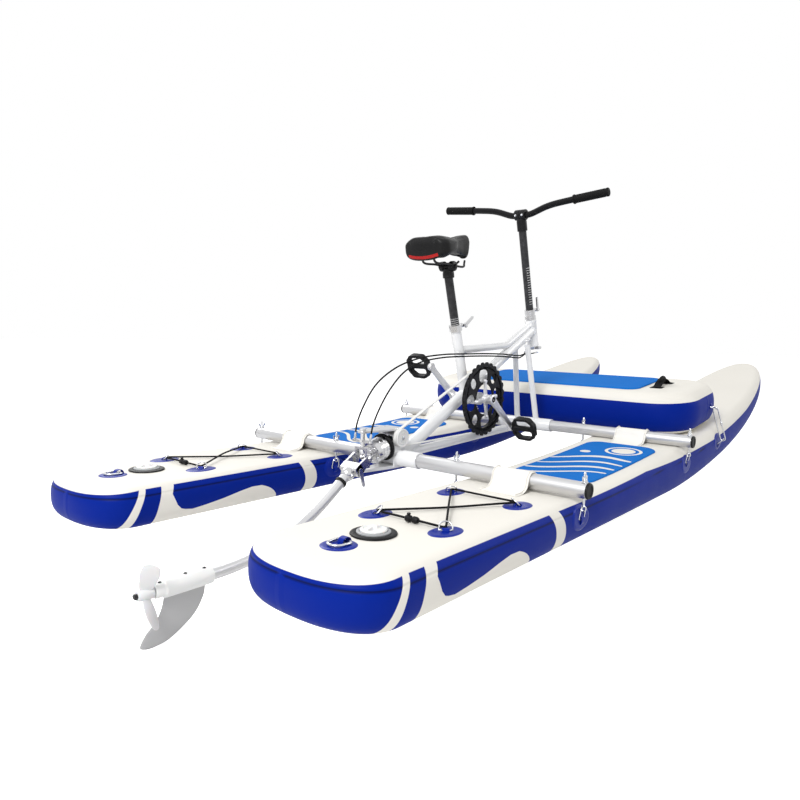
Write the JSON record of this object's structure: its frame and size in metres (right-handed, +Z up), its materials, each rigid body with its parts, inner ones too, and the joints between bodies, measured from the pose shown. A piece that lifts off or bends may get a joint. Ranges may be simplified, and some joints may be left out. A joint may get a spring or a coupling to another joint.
{
  "type": "pontoon water bike",
  "caption": "Pedal-driven water bike on inflatable pontoons, with cross bars, a belt drive, a swivelling propeller leg, a front cross platform, a saddle and a handlebar",
  "frame": {"origin": "under the middle of the bounding box, level with the tip of the fin", "axes": "+X to the bows, +Y to port, +Z up"},
  "size_m": [3.133, 1.246, 1.1686],
  "materials": {
    "hull_shell": "satin cream inflatable fabric with blue rail bands",
    "rail_blue": "satin royal blue inflatable fabric with cream top",
    "deck_foam": "matte closed-cell foam",
    "black_plastic": "satin moulded plastic",
    "black_fabric": "woven",
    "anodised_tube": "brushed clear anodised",
    "polished_alloy": "polished",
    "steel_wire": "polished stainless",
    "frame_paint": "gloss white",
    "black_alloy": "black anodised",
    "saddle_cover": "smooth synthetic cover",
    "white_plastic": "moulded",
    "grip_rubber": "ribbed",
    "blade_plastic": "pale grey moulded",
    "belt_cord": "white toothed"
  },
  "bodies": {
    "hulls_and_frame": {"main_frame": "frame_paint", "belt": "belt_cord", "gearbox_housing": "polished_alloy", "gearbox_flange": "black_plastic", "swivel_plate": "polished_alloy", "seat_collar": "polished_alloy", "platform": "rail_blue", "platform_pad": "deck_foam", "platform_handle": "black_fabric", "hull_port": "hull_shell", "deck_pad_port": "deck_foam", "valve_port": "black_plastic", "bungee_port": "black_fabric", "cable_port": "black_alloy", "platform_clip_port": "steel_wire", "rear_bar_port": "anodised_tube", "rear_plug_port": "black_plastic", "rear_sleeve_port": "hull_shell", "front_bar_port": "anodised_tube", "front_plug_port": "black_plastic", "front_sleeve_port": "hull_shell", "hull_starboard": "hull_shell", "deck_pad_starboard": "deck_foam", "valve_starboard": "black_plastic", "bungee_starboard": "black_fabric", "cable_starboard": "black_alloy", "platform_clip_starboard": "steel_wire", "rear_bar_starboard": "anodised_tube", "rear_plug_starboard": "black_plastic", "rear_sleeve_starboard": "hull_shell", "front_bar_starboard": "anodised_tube", "front_plug_starboard": "black_plastic", "front_sleeve_starboard": "hull_shell"},
    "seat_clamp_lever": {"seat_lever": "polished_alloy"},
    "seat": {"seat_post": "black_alloy", "saddle_mount": "black_alloy", "saddle": "saddle_cover"},
    "steering_column": {"steerer": "polished_alloy", "height_collar": "polished_alloy"},
    "height_clamp_lever": {"height_lever": "polished_alloy"},
    "stem_and_bar": {"stem_tube": "black_alloy", "bar_clamp": "black_alloy", "handlebar": "black_alloy", "grip_port": "grip_rubber", "grip_starboard": "grip_rubber"},
    "cranks": {"crank_right": "polished_alloy", "chainring": "black_plastic", "crank_left": "polished_alloy"},
    "right_pedal": {"pedal_right": "black_plastic"},
    "left_pedal": {"pedal_left": "black_plastic"},
    "belt_pulley": {"drive_pulley": "white_plastic"},
    "gearbox_shaft": {"output_shaft": "polished_alloy"},
    "yoke": {"steer_yoke": "polished_alloy"},
    "leg": {"leg_tube": "polished_alloy", "fin_sleeve": "white_plastic", "fin": "blade_plastic"},
    "leg_catch": {"leg_latch": "polished_alloy"},
    "screw": {"propeller": "blade_plastic"},
    "port_stern_ring": {"stern_ring_port": "steel_wire"},
    "starboard_stern_ring": {"stern_ring_starboard": "steel_wire"}
  },
  "joints": [
    {"name": "seat_height", "type": "slide", "parent": "hulls_and_frame", "child": "seat", "axis": [-0.2874, 0, 0.9578], "range_m": [-0.1, 0.03]},
    {"name": "seat_lever_turn", "type": "hinge", "parent": "hulls_and_frame", "child": "seat_clamp_lever", "pos_m": [-0.42059, -0.0162, 0.70519], "axis": [0.5736, 0, -0.8192], "range_deg": [0, 150]},
    {"name": "steering", "type": "hinge", "parent": "hulls_and_frame", "child": "steering_column", "pos_m": [0.0375, 0, 0.73687], "axis": [-0.2656, 0, 0.9641], "range_deg": [-30, 30]},
    {"name": "height_lever_turn", "type": "hinge", "parent": "steering_column", "child": "height_clamp_lever", "pos_m": [0.06127, -0.0162, 0.77485], "axis": [0.9659, 0, 0.2588], "range_deg": [0, 150]},
    {"name": "bar_height", "type": "slide", "parent": "steering_column", "child": "stem_and_bar", "axis": [-0.2656, 0, 0.9641], "range_m": [-0.15, 0.03]},
    {"name": "pedalling", "type": "hinge", "parent": "hulls_and_frame", "child": "cranks", "pos_m": [-0.3415, 0, 0.46087], "axis": [0, 1, 0], "continuous": true},
    {"name": "right_pedal_spin", "type": "hinge", "parent": "cranks", "child": "right_pedal", "pos_m": [-0.2079, -0.129, 0.35574], "axis": [0, 1, 0], "continuous": true},
    {"name": "left_pedal_spin", "type": "hinge", "parent": "cranks", "child": "left_pedal", "pos_m": [-0.4751, 0.129, 0.566], "axis": [0, 1, 0], "continuous": true},
    {"name": "pulley_spin", "type": "hinge", "parent": "hulls_and_frame", "child": "belt_pulley", "pos_m": [-0.7665, 0, 0.37287], "axis": [0, 1, 0], "continuous": true},
    {"name": "gearbox_shaft_spin", "type": "hinge", "parent": "hulls_and_frame", "child": "gearbox_shaft", "pos_m": [-0.8485, 0, 0.33479], "axis": [0.979, 0, 0.204], "continuous": true},
    {"name": "leg_steer", "type": "hinge", "parent": "hulls_and_frame", "child": "yoke", "pos_m": [-0.8865, 0, 0.32687], "axis": [0, 0, 1], "range_deg": [-12, 12]},
    {"name": "leg_lift", "type": "hinge", "parent": "yoke", "child": "leg", "pos_m": [-0.8865, 0, 0.32687], "axis": [0, 1, 0], "range_deg": [0, 60]},
    {"name": "leg_catch_turn", "type": "hinge", "parent": "leg", "child": "leg_catch", "pos_m": [-0.92746, -0.0326, 0.29819], "axis": [0, 1, 0], "range_deg": [-20, 45]},
    {"name": "propeller_spin", "type": "hinge", "parent": "leg", "child": "screw", "pos_m": [-1.5255, 0, 0.122], "axis": [1, 0, 0], "continuous": true},
    {"name": "port_ring_swing", "type": "hinge", "parent": "hulls_and_frame", "child": "port_stern_ring", "pos_m": [-1.3795, 0.417, 0.29217], "axis": [0, 1, 0], "range_deg": [0, 150]},
    {"name": "starboard_ring_swing", "type": "hinge", "parent": "hulls_and_frame", "child": "starboard_stern_ring", "pos_m": [-1.3795, -0.417, 0.29217], "axis": [0, 1, 0], "range_deg": [0, 150]}
  ],
  "couplings": [
    {"joint": "pulley_spin", "follows": "pedalling", "ratio": 4.9},
    {"joint": "gearbox_shaft_spin", "follows": "pedalling", "ratio": 9.8},
    {"joint": "propeller_spin", "follows": "pedalling", "ratio": 9.8},
    {"joint": "leg_steer", "follows": "steering", "ratio": -0.4}
  ]
}
